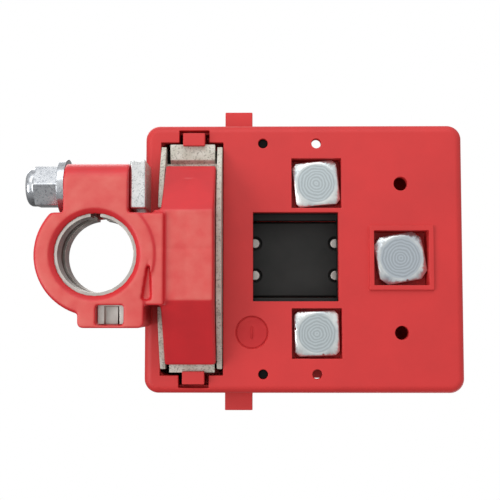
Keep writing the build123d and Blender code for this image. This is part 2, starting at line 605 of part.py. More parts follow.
# ---- Fuses -------------------------------------------------------------------------------------------------
FUSE_STRIP_Y = 7.0
SIDE_FUSE_X0, SIDE_FUSE_X1 = 35.2, 47.4
SIDE_FUSE_Y = 6.0
SIDE_STRIP_Y = 4.5


def fuse_shell(z0, z1, outer_z):
    """Half of the main fuse's body, hollow round the strip, with recesses for the rivet heads."""
    with BuildPart() as made:
        block(FUSE_X0, FUSE_X1, -FUSE_Y, FUSE_Y, z0, z1)
        outer = made.faces().sort_by(Axis.Z)[0 if outer_z == z0 else -1]
        chamfer(outer.edges(), 0.5)
        block(43.0, 58.8, -5.5, 5.5, FUSE_MID_Z - 2.2, FUSE_MID_Z + 1.2, mode=Mode.SUBTRACT)
        slot_y = (-FUSE_STRIP_Y, FUSE_STRIP_Y)
        block(FUSE_X0 - 1, FUSE_X1 + 1, *slot_y, STRIP_Z0, STRIP_Z0 + STRIP_T, mode=Mode.SUBTRACT)
        for x in RIVET_X:
            for y in (-RIVET_Y, RIVET_Y):
                rod_z(x, y, 0.9, 20, 40, mode=Mode.SUBTRACT)
                rod_z(x, y, RIVET_R + 0.55, outer_z - 1.3, outer_z + 1.3, mode=Mode.SUBTRACT)
    return made.part


save(fuse_shell(FUSE_Z0, STRIP_Z0 + STRIP_T, FUSE_Z0), "main_fuse_body")
save(fuse_shell(STRIP_Z0 + STRIP_T, FUSE_Z1, FUSE_Z1), "main_fuse_cap")

with BuildPart() as main_fuse_strip:
    block(15.4, 86.6, -FUSE_STRIP_Y, FUSE_STRIP_Y, STRIP_Z0, STRIP_Z0 + STRIP_T)
    for end_x, radius in ((15.4, 3.0), (86.6, 3.0)):
        edges = main_fuse_strip.edges().filter_by(Axis.Z).filter_by_position(Axis.X, end_x - 0.1, end_x + 0.1)
        fillet(edges, radius)
    # Narrow link in the middle, where the fuse melts.
    for side in (-1, 1):
        block(46.0, 55.6, *mirror_pair(1.6, 8.0, side), 20, 40, mode=Mode.SUBTRACT)
    rod_z(AXIS_X, 0, M5_R, 20, 40, mode=Mode.SUBTRACT)
    rod_z(OUTPUT_X, 0, M8_R, 20, 40, mode=Mode.SUBTRACT)
    for x in RIVET_X:
        for y in (-RIVET_Y, RIVET_Y):
            rod_z(x, y, 0.9, 20, 40, mode=Mode.SUBTRACT)

with BuildPart() as main_fuse_rivets:
    for x in RIVET_X:
        for y in (-RIVET_Y, RIVET_Y):
            rod_z(x, y, 0.9, FUSE_Z0 + 0.5, FUSE_Z1 - 0.5)
            rod_z(x, y, RIVET_R, FUSE_Z0 + 0.1, FUSE_Z0 + 1.0)
            rod_z(x, y, RIVET_R, FUSE_Z1 - 1.0, FUSE_Z1 - 0.1)


def side_fuse(side):
    """One side fuse: its strip, and its moulded body round it."""
    y = side * SIDE_Y
    with BuildPart() as strip:
        block(21.6, 61.2, y - SIDE_STRIP_Y, y + SIDE_STRIP_Y, STRIP_Z0, SIDE_SEAT)
        fillet(strip.edges().filter_by(Axis.Z), 2.0)
        rod_z(BUS_SCREWS[1][0], y, M5_R, 20, 40, mode=Mode.SUBTRACT)
        rod_z(SIDE_X, y, M6_R, 20, 40, mode=Mode.SUBTRACT)
        for cut in (-1, 1):
            block(39.4, 43.4, *sorted((y + cut * 1.0, y + cut * 6.0)), 20, 40, mode=Mode.SUBTRACT)
    with BuildPart() as body:
        block(SIDE_FUSE_X0, SIDE_FUSE_X1, y - SIDE_FUSE_Y, y + SIDE_FUSE_Y, 25.0, 32.0)
        chamfer(body.faces().sort_by(Axis.Z)[-1].edges(), 0.6)
        block(36.6, 46.2, y - 3.6, y + 3.6, 26.2, 30.6, mode=Mode.SUBTRACT)
        block(30, 52, y - SIDE_STRIP_Y, y + SIDE_STRIP_Y, STRIP_Z0, SIDE_SEAT, mode=Mode.SUBTRACT)
    return strip.part, body.part


side_fuses = [side_fuse(side) for side in (-1, 1)]
save(Compound(children=[strip for strip, body in side_fuses]), "side_fuse_strips")
save(Compound(children=[body for strip, body in side_fuses]), "side_fuse_bodies")

# ---- Switch: rotor, contacts, spring, detent ---------------------------------------------------------------
ROTOR_Z0, ROTOR_Z1 = 37.4, 43.9
BAR_R = 9.8
BAR_W = 7.0
SPINDLE_TOP = 52.0
BALL_R = 1.5
BALL_OFFSET = 7.0
BALL_Z = 43.3
GROOVE_TOP = 45.1

with BuildPart() as rotor:
    rod_z(AXIS_X, 0, ROTOR_R, ROTOR_Z0, ROTOR_Z1)
    rod_z(AXIS_X, 0, SPINDLE_R, ROTOR_Z1 - 1, SPINDLE_TOP)
    for side in (-1, 1):
        leg = sorted((AXIS_X + side * (BAR_W / 2 + 0.1), AXIS_X + side * 6.6))
        block(*leg, -4.0, 4.0, BAR_Z0 - 0.3, ROTOR_Z0 + 1)
    block(AXIS_X + 3.0, AXIS_X + 5, -5, 5, 47.6, SPINDLE_TOP + 1, mode=Mode.SUBTRACT)
    rod_z(AXIS_X, 0, 3.7, ROTOR_Z0 - 1, ROTOR_Z0 + 2.6, mode=Mode.SUBTRACT)
    rod_z(AXIS_X, 0, M3_R, SPINDLE_TOP - 8, SPINDLE_TOP + 1, mode=Mode.SUBTRACT)
    for side in (-1, 1):
        rod_z(AXIS_X + side * BALL_OFFSET, 0, BALL_R + 0.1, 39.4, ROTOR_Z1 + 1, mode=Mode.SUBTRACT)

with BuildPart() as contact_bridge:
    with BuildSketch(Plane.XY.offset(BAR_Z0)):
        with Locations((AXIS_X, 0)):
            Circle(BAR_R)
            Rectangle(BAR_W, 3 * BAR_R, mode=Mode.INTERSECT)
    extrude(amount=BAR_Z1 - BAR_Z0)
    rod_z(AXIS_X, 0, 1.7, BAR_Z1 - 1, BAR_Z1 + 0.8)

with BuildPart() as bridge_tips:
    for side in (-1, 1):
        rod_z(AXIS_X, side * CONTACT_Y, 2.0, CONTACT_Z + 0.15, BAR_Z0)

with BuildPart() as bridge_spring:
    rod_z(AXIS_X, 0, 3.3, BAR_Z1, ROTOR_Z0 + 2.6)
    rod_z(AXIS_X, 0, 2.1, BAR_Z1 - 1, ROTOR_Z0 + 4, mode=Mode.SUBTRACT)

with BuildPart() as detent_balls:
    for side in (-1, 1):
        with Locations((AXIS_X + side * BALL_OFFSET, 0, BALL_Z)):
            Sphere(BALL_R)

with BuildPart() as detent_springs:
    for side in (-1, 1):
        rod_z(AXIS_X + side * BALL_OFFSET, 0, 1.35, 39.4, BALL_Z - BALL_R)
        rod_z(AXIS_X + side * BALL_OFFSET, 0, 0.7, 39, 43, mode=Mode.SUBTRACT)

KNOB_Z0 = 47.9
KNOB_SKIRT = 51.0
KNOB_TOP = 59.0

with BuildPart() as knob:
    rod_z(AXIS_X, 0, KNOB_R, KNOB_Z0, KNOB_SKIRT)
    fillet(knob.faces().sort_by(Axis.Z)[-1].edges(), 1.0)
    # Grip bar across the knob, pointing along Y when the switch is on.
    with BuildSketch(Plane.XY.offset(KNOB_SKIRT - 1)):
        with Locations((AXIS_X, 0)):
            SlotOverall(2 * KNOB_R - 1.0, 9.0, rotation=90)
    extrude(amount=KNOB_TOP - KNOB_SKIRT + 1, taper=4)
    fillet(knob.faces().sort_by(Axis.Z)[-1].edges(), 1.2)
    for index in range(24):
        angle = radians(15 * index + 7.5)
        flute_x, flute_y = AXIS_X + KNOB_R * cos(angle), KNOB_R * sin(angle)
        rod_z(flute_x, flute_y, 0.6, KNOB_Z0 - 1, KNOB_SKIRT - 1.1, mode=Mode.SUBTRACT)
    add(rotor.part, mode=Mode.SUBTRACT)
    block(AXIS_X + 2.9, AXIS_X + SPINDLE_R + 0.1, -3, 3, KNOB_Z0 - 1, 47.7, mode=Mode.SUBTRACT)
    rod_z(AXIS_X, 0, M3_R, KNOB_Z0 - 1, 57, mode=Mode.SUBTRACT)
    rod_z(AXIS_X, 0, 3.0, 55.0, KNOB_TOP + 1, mode=Mode.SUBTRACT)

with BuildPart() as knob_screw:
    rod_z(AXIS_X, 0, M3_R, SPINDLE_TOP - 6, 55.5)
    rod_z(AXIS_X, 0, 2.7, 55.0, 56.6)
    with BuildSketch(Plane.XY.offset(55.6)):
        with Locations((AXIS_X, 0)):
            RegularPolygon(1.2, 6)
    extrude(amount=2, mode=Mode.SUBTRACT)

with BuildPart() as knob_cap:
    rod_z(AXIS_X, 0, 3.0, 57.4, KNOB_TOP)

# ---- Switch housing ----------------------------------------------------------------------------------------
ROOF_Z0 = ROOF_TOP - ROOF_T

with BuildPart() as switch_housing:
    block(BASE_X0, HOUSING_X1, -BASE_Y, BASE_Y, RIM, ROOF_TOP)
    block(HOUSING_X1 - 4, TURRET_X1, -TURRET_Y, TURRET_Y, RIM, ROOF_TOP)
    corners = switch_housing.edges().filter_by(Axis.Z).sort_by(Axis.X)[:2]
    fillet(corners, BASE_CORNER)
    fillet(switch_housing.faces().sort_by(Axis.Z)[-1].edges(), 0.8)
    room_y, turret_y = BASE_Y - WALL, TURRET_Y - WALL
    block(BASE_X0 + WALL, HOUSING_X1 - WALL, -room_y, room_y, RIM - 1, ROOF_Z0, mode=Mode.SUBTRACT)
    block(HOUSING_X1 - 5, TURRET_X1 - WALL, -turret_y, turret_y, RIM - 1, ROOF_Z0, mode=Mode.SUBTRACT)
    # Raised seat under the knob, spindle hole, seal groove and detent track.
    rod_z(AXIS_X, 0, 10.5, ROOF_TOP - 0.5, ROOF_TOP + 0.9)
    rod_z(AXIS_X, 0, SPINDLE_R + 0.06, ROOF_Z0 - 1, ROOF_TOP + 2, mode=Mode.SUBTRACT)
    rod_z(AXIS_X, 0, 5.4, 45.4, ROOF_TOP + 2, mode=Mode.SUBTRACT)
    rod_z(AXIS_X, 0, BALL_OFFSET + 1.7, ROOF_Z0 - 1, GROOVE_TOP, mode=Mode.SUBTRACT)
    rod_z(AXIS_X, 0, BALL_OFFSET - 1.7, ROOF_Z0 - 0.3, GROOVE_TOP)
    rod_z(AXIS_X, 0, SPINDLE_R + 0.06, ROOF_Z0 - 2, ROOF_TOP + 2, mode=Mode.SUBTRACT)
    for screw_x, screw_y in CORNER_SCREWS:
        rod_z(screw_x, screw_y, 3.9, RIM, ROOF_Z0 + 0.5)
    block(HOUSING_X1, TURRET_X1 + 5, *(TURRET_Y, BASE_Y + 5), RIM - 1, ROOF_TOP + 1, mode=Mode.SUBTRACT)
    block(HOUSING_X1, TURRET_X1 + 5, *(-BASE_Y - 5, -TURRET_Y), RIM - 1, ROOF_TOP + 1, mode=Mode.SUBTRACT)
    for side in (-1, 1):
        block(0, 50, *mirror_pair(BASE_Y, BASE_Y + 5, side), RIM - 1, ROOF_TOP + 1, mode=Mode.SUBTRACT)
    block(0, BASE_X0, -50, 50, RIM - 1, ROOF_TOP + 1, mode=Mode.SUBTRACT)
    for screw_x, screw_y in CORNER_SCREWS:
        rod_z(screw_x, screw_y, M3_R, RIM - 1, ROOF_TOP + 2, mode=Mode.SUBTRACT)
        rod_z(screw_x, screw_y, 2.9, ROOF_TOP - 3, ROOF_TOP + 2, mode=Mode.SUBTRACT)

with BuildPart() as housing_screws:
    for screw_x, screw_y in CORNER_SCREWS:
        rod_z(screw_x, screw_y, M3_R, RIM - 6, ROOF_TOP - 2)
        rod_z(screw_x, screw_y, 2.7, ROOF_TOP - 3, ROOF_TOP - 0.6)
        rod_z(screw_x, screw_y, 1.2, ROOF_TOP - 1.9, ROOF_TOP, mode=Mode.SUBTRACT)

with BuildPart() as spindle_seal:
    with Locations((AXIS_X, 0, 46.3)):
        Torus(4.75, 0.62)

# ---- Fuse cover, hinge and latches -------------------------------------------------------------------------
NOTCH_SIDE = TURRET_Y + 0.4
NOTCH_END = TURRET_X1 + 0.5
COVER_Z0 = RIM + GAP
RECESS_X0 = LATCH_X0 - 0.3
RECESS_X1 = LATCH_X1 + 0.3
KNUCKLE_Y = (16.3, 23.7)

with BuildPart() as fuse_cover:
    block(COVER_X0, COVER_X1, -BASE_Y, BASE_Y, COVER_Z0, ROOF_TOP)
    fillet(fuse_cover.faces().sort_by(Axis.Z)[-1].edges(), 1.2)
    block(COVER_X0 - 1, NOTCH_END, -NOTCH_SIDE, NOTCH_SIDE, RIM, ROOF_TOP + 1, mode=Mode.SUBTRACT)
    # Hollow: the main room, and the two arms beside the turret.
    inner_y = BASE_Y - SKIRT
    block(NOTCH_END + SKIRT, COVER_X1 - 2, -inner_y, inner_y, RIM, ROOF_Z0, mode=Mode.SUBTRACT)
    for side in (-1, 1):
        arm_y = mirror_pair(NOTCH_SIDE + SKIRT, inner_y, side)
        block(COVER_X0 + SKIRT, NOTCH_END + SKIRT + 1, *arm_y, RIM, ROOF_Z0, mode=Mode.SUBTRACT)
        # Thick pad round the latch pivot, then the recess that the latch turns in.
        pad_y = mirror_pair(BASE_Y - 5.0, BASE_Y - 1, side)
        block(COVER_X0 + 0.1, LATCH_X1 + 2.4, *pad_y, LATCH_AXIS_Z - 3.0, ROOF_Z0 + 0.5)
        recess_y = mirror_pair(BASE_Y - 3.3, BASE_Y + 1, side)
        block(RECESS_X0 + 0.9, RECESS_X1, *recess_y, RIM - 1, LATCH_AXIS_Z + 2.6, mode=Mode.SUBTRACT)
        # Notch for the side cable, open at the roof's edge, and the hinge knuckle with its leaf.
        wall_y = mirror_pair(inner_y, BASE_Y + 1, side)
        block(SIDE_X - SIDE_EXIT, SIDE_X + SIDE_EXIT, *wall_y, RIM, ROOF_TOP + 1, mode=Mode.SUBTRACT)
        knuckle = mirror_pair(*KNUCKLE_Y, side)
        block(COVER_X1 - 1, HINGE_X, *knuckle, COVER_Z0, HINGE_Z + KNUCKLE_R)
        rod_y(HINGE_X, HINGE_Z, KNUCKLE_R, *knuckle)
        bore = mirror_pair(KNUCKLE_Y[0] - 1, KNUCKLE_Y[1] + 1, side)
        rod_y(HINGE_X, HINGE_Z, HINGE_PIN_R + 0.06, *bore, mode=Mode.SUBTRACT)
        rod_x(side * LATCH_AXIS_Y, LATCH_AXIS_Z, 0.8, RECESS_X0 - 3, RECESS_X1 + 1.8, mode=Mode.SUBTRACT)
    # Room for the output cable under the end wall.
    block(COVER_X1 - 4, COVER_X1 + 1, -OUTPUT_EXIT_Y, OUTPUT_EXIT_Y, RIM, ARCH_TOP, mode=Mode.SUBTRACT)
    # Stiffening ribs along the top.
    for rib_y in (-24.0, -14.0, 14.0, 24.0):
        block(45.0, 84.0, rib_y - 0.6, rib_y + 0.6, ROOF_TOP - 0.5, ROOF_TOP + 0.8)

with BuildPart() as cover_hinge_pin:
    rod_y(HINGE_X, HINGE_Z, HINGE_PIN_R, -30.0, 30.0)

LATCH_OUT_Y = BASE_Y + 0.35
LATCH_T = 1.5
TAB_Z0, TAB_Z1 = 25.6, 27.8
BARREL_R = 1.6
LATCH_PIN_R = 0.8
NIB_DEPTH = 1.4
NIB_Z0, NIB_Z1 = 28.2, 31.0


def latch(side):
    """A cover latch: barrel on its pivot, tongue down the outside of the base, and finger tab."""
    tongue_y = mirror_pair(LATCH_OUT_Y, LATCH_OUT_Y + LATCH_T, side)
    barrel_x = (RECESS_X0 + 1.1, LATCH_X1)
    barrel_z = (LATCH_AXIS_Z - BARREL_R, LATCH_AXIS_Z + BARREL_R)
    with BuildPart() as made:
        block(LATCH_X0 + 0.9, LATCH_X1, *tongue_y, TAB_Z0, LATCH_AXIS_Z + BARREL_R)
        block(LATCH_X0, LATCH_X1, *tongue_y, TAB_Z0, RIM - 1)
        block(*barrel_x, *mirror_pair(LATCH_AXIS_Y, LATCH_OUT_Y + 0.5, side), *barrel_z)
        rod_x(side * LATCH_AXIS_Y, LATCH_AXIS_Z, BARREL_R, *barrel_x)
        block(LATCH_X0, LATCH_X1, *mirror_pair(LATCH_OUT_Y, TAB_REACH_Y, side), TAB_Z0, TAB_Z1)
        # Nib that sits in the slot in the base's rim.
        nib_y = mirror_pair(BASE_Y - NIB_DEPTH, LATCH_OUT_Y + 0.5, side)
        block(LATCH_X0 + 0.6, LATCH_X1 - 0.6, *nib_y, NIB_Z0, NIB_Z1)
        rod_x(side * LATCH_AXIS_Y, LATCH_AXIS_Z, LATCH_PIN_R + 0.06, RECESS_X0, RECESS_X1, mode=Mode.SUBTRACT)
    return made.part


save(latch(-1), "cover_latch_front")
save(latch(1), "cover_latch_rear")

with BuildPart() as latch_pins:
    for side in (-1, 1):
        rod_x(side * LATCH_AXIS_Y, LATCH_AXIS_Z, LATCH_PIN_R, RECESS_X0 + 0.2, RECESS_X1 + 1.5)

# ---- Output ------------------------------------------------------------------------------------------------
finished = {
    "clamp_band": clamp_band, "arm_conductor": arm_conductor, "clamp_jacket": clamp_jacket,
    "clamp_bolt": clamp_bolt, "clamp_washer": clamp_washer, "clamp_nut": clamp_nut,
    "clamp_nut_insert": clamp_nut_insert, "contact_tray": contact_tray, "tray_screws": tray_screws,
    "base_housing": base_housing, "fuse_cradle": fuse_cradle, "insulating_plate": insulating_plate,
    "threaded_inserts": threaded_inserts,
    "supply_busbar": supply_busbar, "fixed_contacts": fixed_contacts, "busbar_screws": busbar_screws,
    "main_fuse_strip": main_fuse_strip, "main_fuse_rivets": main_fuse_rivets, "rotor": rotor,
    "contact_bridge": contact_bridge, "bridge_tips": bridge_tips, "bridge_spring": bridge_spring,
    "detent_balls": detent_balls, "detent_springs": detent_springs, "knob": knob, "knob_screw": knob_screw,
    "knob_cap": knob_cap, "switch_housing": switch_housing, "housing_screws": housing_screws,
    "spindle_seal": spindle_seal, "fuse_cover": fuse_cover, "cover_hinge_pin": cover_hinge_pin,
    "latch_pins": latch_pins,
}
for name, builder in finished.items():
    save(builder.part, name)
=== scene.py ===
import json
import math

import bmesh
import bpy
from bpy.props import FloatProperty, FloatVectorProperty, PointerProperty
from mathutils import Matrix, Vector

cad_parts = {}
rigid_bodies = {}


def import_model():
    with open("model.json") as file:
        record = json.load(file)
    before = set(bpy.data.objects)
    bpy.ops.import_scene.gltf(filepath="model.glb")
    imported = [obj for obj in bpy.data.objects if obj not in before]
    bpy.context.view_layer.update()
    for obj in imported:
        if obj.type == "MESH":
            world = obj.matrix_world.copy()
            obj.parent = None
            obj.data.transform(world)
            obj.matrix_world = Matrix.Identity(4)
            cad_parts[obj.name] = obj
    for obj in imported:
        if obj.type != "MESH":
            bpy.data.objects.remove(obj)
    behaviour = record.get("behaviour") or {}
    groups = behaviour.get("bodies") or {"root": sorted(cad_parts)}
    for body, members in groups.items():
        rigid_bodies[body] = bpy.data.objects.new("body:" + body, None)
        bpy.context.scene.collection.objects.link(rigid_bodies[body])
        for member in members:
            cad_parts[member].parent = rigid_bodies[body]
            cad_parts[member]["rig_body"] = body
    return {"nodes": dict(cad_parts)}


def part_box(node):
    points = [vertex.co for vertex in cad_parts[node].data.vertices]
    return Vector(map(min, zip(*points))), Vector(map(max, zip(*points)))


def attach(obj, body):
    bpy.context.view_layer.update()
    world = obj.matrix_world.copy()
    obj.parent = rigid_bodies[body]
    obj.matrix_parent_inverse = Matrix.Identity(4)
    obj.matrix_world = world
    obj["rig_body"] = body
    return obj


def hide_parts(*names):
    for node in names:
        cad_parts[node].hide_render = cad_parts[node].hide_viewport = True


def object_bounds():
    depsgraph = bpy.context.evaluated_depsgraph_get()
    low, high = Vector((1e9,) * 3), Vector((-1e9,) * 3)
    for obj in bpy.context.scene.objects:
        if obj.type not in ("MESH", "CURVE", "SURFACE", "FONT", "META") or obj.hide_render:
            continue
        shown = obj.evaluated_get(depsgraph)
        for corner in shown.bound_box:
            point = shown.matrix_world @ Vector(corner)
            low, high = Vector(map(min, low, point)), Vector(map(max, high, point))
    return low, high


bl_info = {
    "name": "Battery switch",
    "version": (1, 0, 0),
    "blender": (4, 5, 0),
    "location": "3D Viewport > Sidebar > Battery switch",
    "description": "Builds the battery switch with its clamp, fuses, rotary switch and hinged cover",
    "category": "Object",
}

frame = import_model()
MODEL_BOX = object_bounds()
MM = 0.001

# Places that several pieces share, in millimetres.
SWITCH_X = 22.6
OUTPUT_STUD_X = 79.0
SIDE_STUD_X, SIDE_STUD_Y = 56.4, 20.2
OFF_MARK_X = 37.1
LATCH_FACE_Y = 37.9
DISC_X, DISC_Y, DISC_R, DISC_TOP = 39.0, 19.9, 4.4, 17.5
RIDGE_HEIGHTS = (34.4, 36.0, 37.6)
ROOF_Z = 46.5
GROOVE_R, GROOVE_Z0, GROOVE_Z1 = 10.05, 4.9, 8.9
GROOVE_START, GROOVE_SWEEP = math.radians(-70.0), math.radians(320.0)

# Threads on the studs' pilot ends: crest radius, lower and upper height, pitch.
OUTPUT_THREAD = (3.8, 37.0, 41.4, 1.25)
SIDE_THREAD = (2.8, 35.0, 37.9, 1.0)
THREAD_DEPTH = 0.36
STEPS_PER_TURN = 28

# How the framed meshes are welded and eased: millimetres, then degrees.
WELD = 0.002
FLAT_ANGLE = 0.4
EDGE_ANGLE = 30.0

# The stage, in millimetres.
STAGE_CENTRE = (40.0, 0.0, 16.0)
FLOOR_HALF, FLOOR_GAP = 1500.0, 0.3
CAMERA_PLACE, CAMERA_TARGET, CAMERA_LENS = (41.0, 12.65, -218.0), (38.5, -2.15, 16.5), 63.08
BRIGHT_SIDE = (0.0, -0.75, -0.66)
SURROUNDINGS_STRENGTH = 0.68


# ---- Mesh helpers ------------------------------------------------------------------------------------------
def box_of(node):
    """The corners of a framed node in millimetres."""
    low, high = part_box(node)
    return low / MM, high / MM


def new_piece(bm, name, like, finish, smooth_angle=35.0):
    """Turns a bmesh in millimetres into a finished piece that rides with the body of the node it is like."""
    mesh = bpy.data.meshes.new(name)
    bmesh.ops.transform(bm, matrix=Matrix.Scale(MM, 4), verts=bm.verts)
    bm.to_mesh(mesh)
    bm.free()
    mesh.polygons.foreach_set("use_smooth", [True] * len(mesh.polygons))
    mesh.set_sharp_from_angle(angle=math.radians(smooth_angle))
    piece = bpy.data.objects.new(name, mesh)
    bpy.context.scene.collection.objects.link(piece)
    mesh.materials.append(finish)
    weighted = piece.modifiers.new("weighted_normals", "WEIGHTED_NORMAL")
    weighted.keep_sharp = True
    weighted.weight = 80
    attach(piece, frame["nodes"][like]["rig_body"])
    return piece


def copied(node):
    """The node's mesh in millimetres, welded, with its flat faces joined up."""
    bm = bmesh.new()
    bm.from_mesh(frame["nodes"][node].data)
    bmesh.ops.transform(bm, matrix=Matrix.Scale(1 / MM, 4), verts=bm.verts)
    bmesh.ops.remove_doubles(bm, verts=bm.verts, dist=WELD)
    flat = math.radians(FLAT_ANGLE)
    bmesh.ops.dissolve_limit(bm, angle_limit=flat, verts=bm.verts, edges=bm.edges, delimit=set())
    return bm


def ease_edges(bm, width, where=None):
    """Rounds the edges that turn by more than the edge angle."""
    limit = math.radians(EDGE_ANGLE)
    sharp = []
    for edge in bm.edges:
        if len(edge.link_faces) != 2 or edge.calc_face_angle(0.0) < limit:
            continue
        middle = (edge.verts[0].co + edge.verts[1].co) / 2
        if where is None or where(middle):
            sharp.append(edge)
    bmesh.ops.bevel(
        bm, geom=sharp, offset=width, offset_type="OFFSET", segments=2, profile=0.5,
        affect="EDGES", clamp_overlap=False, material=-1,
    )


def moulded(node, name, grain_size, rounds, finish, shape=None):
    """A copy of a framed node with every edge and inner corner flowing softly, as one moulding."""
    bm = copied(node)
    rough = bpy.data.meshes.new(name + "_rough")
    bm.to_mesh(rough)
    bm.free()
    blank = bpy.data.objects.new(name + "_blank", rough)
    bpy.context.scene.collection.objects.link(blank)
    remesh = blank.modifiers.new("even", "REMESH")
    remesh.mode = "VOXEL"
    remesh.voxel_size = grain_size
    even = bpy.data.meshes.new_from_object(blank.evaluated_get(bpy.context.evaluated_depsgraph_get()))
    bpy.data.objects.remove(blank)
    bm = bmesh.new()
    bm.from_mesh(even)
    for _ in range(rounds):
        bmesh.ops.smooth_vert(
            bm, verts=bm.verts, factor=0.5, use_axis_x=True, use_axis_y=True, use_axis_z=True,
        )
    if shape is not None:
        shape(bm)
    piece = new_piece(bm, name, node, finish, smooth_angle=60.0)
    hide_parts(node)
    return piece


def softened(node, name, width, finish, where=None, shape=None):
    """A copy of a framed node with eased edges and any further shape, which stands for it."""
    bm = copied(node)
    if width > 0:
        ease_edges(bm, width, where=where)
    if shape is not None:
        shape(bm)
    piece = new_piece(bm, name, node, finish)
    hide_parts(node)
    return piece


def wind(bm, outline, x, y, z, pitch, turns):
    """Sweeps a closed outline of (radius, height) points up an upright helix, and caps its ends."""
    verts = [bm.verts.new((x + radius, y, z + height)) for radius, height in outline]
    edges = [bm.edges.new((verts[index - 1], verts[index])) for index in range(len(verts))]
    count = round(STEPS_PER_TURN * turns)
    bmesh.ops.spin(
        bm, geom=verts + edges, cent=(x, y, z), axis=(0, 0, 1), dvec=(0, 0, pitch * turns / count),
        angle=math.tau * turns, steps=count, use_merge=False, use_duplicate=False,
    )
    bmesh.ops.holes_fill(bm, edges=[edge for edge in bm.edges if edge.is_boundary], sides=0)
    bmesh.ops.recalc_face_normals(bm, faces=bm.faces)


def cut_thread(bm, x, y, crest, z0, z1, pitch):
    """Turns a plain vertical cylinder down to its root and winds a thread's ridge up it."""
    root = crest - THREAD_DEPTH * pitch
    for vert in bm.verts:
        reach = math.hypot(vert.co.x - x, vert.co.y - y)
        if reach > crest - 0.25 and z0 - 0.1 < vert.co.z < z1 + 1.0 and reach < crest + 0.1:
            vert.co.x = x + (vert.co.x - x) * root / reach
            vert.co.y = y + (vert.co.y - y) * root / reach
    half = 0.42 * pitch
    outline = ((root - 0.1, -half), (crest, -0.06 * pitch), (crest, 0.06 * pitch), (root - 0.1, half))
    wind(bm, outline, x, y, z0 + half, pitch, (z1 - z0 - 2 * half) / pitch)


def coil(bm, x, y, radius, wire, z0, z1, turns):
    """A helical spring of round wire between two heights."""
    ring = [math.tau * index / 10 for index in range(10)]
    outline = [(radius + wire * math.cos(angle), wire * math.sin(angle)) for angle in ring]
    wind(bm, outline, x, y, z0 + wire, (z1 - z0 - 2 * wire) / turns, turns)


def add_box(bm, x0, x1, y0, y1, z0, z1, ease):
    """A box between the given planes, with its edges eased."""
    made = bmesh.ops.create_cube(bm, size=1.0)["verts"]
    bmesh.ops.scale(bm, vec=(x1 - x0, y1 - y0, z1 - z0), verts=made)
    bmesh.ops.translate(bm, vec=((x0 + x1) / 2, (y0 + y1) / 2, (z0 + z1) / 2), verts=made)
    bmesh.ops.bevel(
        bm, geom=list({edge for vert in made for edge in vert.link_edges}), offset=ease, segments=2,
        profile=0.5, affect="EDGES", clamp_overlap=True, material=-1,
    )


# ---- Finishes ----------------------------------------------------------------------------------------------
def math_node(nodes, links, operation, *values):
    """A math node fed by numbers or by other nodes' outputs."""
    node = nodes.new("ShaderNodeMath")
    node.operation = operation
    for index, value in enumerate(values):
        if isinstance(value, (int, float)):
            node.inputs[index].default_value = value
        else:
            links.new(value, node.inputs[index])
    return node.outputs["Value"]


def noise_node(nodes, links, place, scale, detail=4.0, roughness=0.5):
    """Noise on the object's own coordinates."""
    noise = nodes.new("ShaderNodeTexNoise")
    noise.inputs["Scale"].default_value = scale
    noise.inputs["Detail"].default_value = detail
    noise.inputs["Roughness"].default_value = roughness
    links.new(place, noise.inputs["Vector"])
    return noise.outputs["Fac"]


def range_node(nodes, links, value, low, high, to_low=0.0, to_high=1.0):
    """Maps a value from one range to another, held at both ends."""
    ramp = nodes.new("ShaderNodeMapRange")
    links.new(value, ramp.inputs["Value"])
    for socket, number in (("From Min", low), ("From Max", high), ("To Min", to_low), ("To Max", to_high)):
        ramp.inputs[socket].default_value = number
    return ramp.outputs["Result"]


def mix_node(nodes, links, share, first, second):
    """Mixes two colours, each a tuple or another node's output."""
    mix = nodes.new("ShaderNodeMix")
    mix.data_type = "RGBA"
    links.new(share, mix.inputs["Factor"])
    for socket, colour in ((mix.inputs[6], first), (mix.inputs[7], second)):
        if isinstance(colour, tuple):
            socket.default_value = (*colour, 1.0)
        else:
            links.new(colour, socket)
    return mix.outputs[2]


def turned_rings(nodes, links, place, x, y, disc):
    """Lathe rings round an upright axis at (x, y) or (x, -y), and how far outside the disc a point lies."""
    split = nodes.new("ShaderNodeSeparateXYZ")
    links.new(place, split.inputs["Vector"])
    across = math_node(nodes, links, "SUBTRACT", split.outputs["X"], x * MM)
    along = math_node(nodes, links, "ABSOLUTE", split.outputs["Y"])
    along = math_node(nodes, links, "SUBTRACT", along, y * MM)
    across = math_node(nodes, links, "POWER", math_node(nodes, links, "ABSOLUTE", across), 2.0)
    along = math_node(nodes, links, "POWER", math_node(nodes, links, "ABSOLUTE", along), 2.0)
    reach = math_node(nodes, links, "SQRT", math_node(nodes, links, "ADD", across, along))
    waver = noise_node(nodes, links, place, 420.0)
    even = math_node(nodes, links, "MULTIPLY", reach, 7800.0)
    phase = math_node(nodes, links, "MULTIPLY_ADD", waver, 9.0, even)
    rings = range_node(nodes, links, math_node(nodes, links, "SINE", phase), -1.0, 1.0)
    outside = range_node(nodes, links, reach, (disc - 0.25) * MM, (disc + 0.15) * MM)
    return rings, outside


def shade(colour, factor):
    """A colour made lighter or darker."""
    return tuple(min(1.0, channel * factor) for channel in colour)


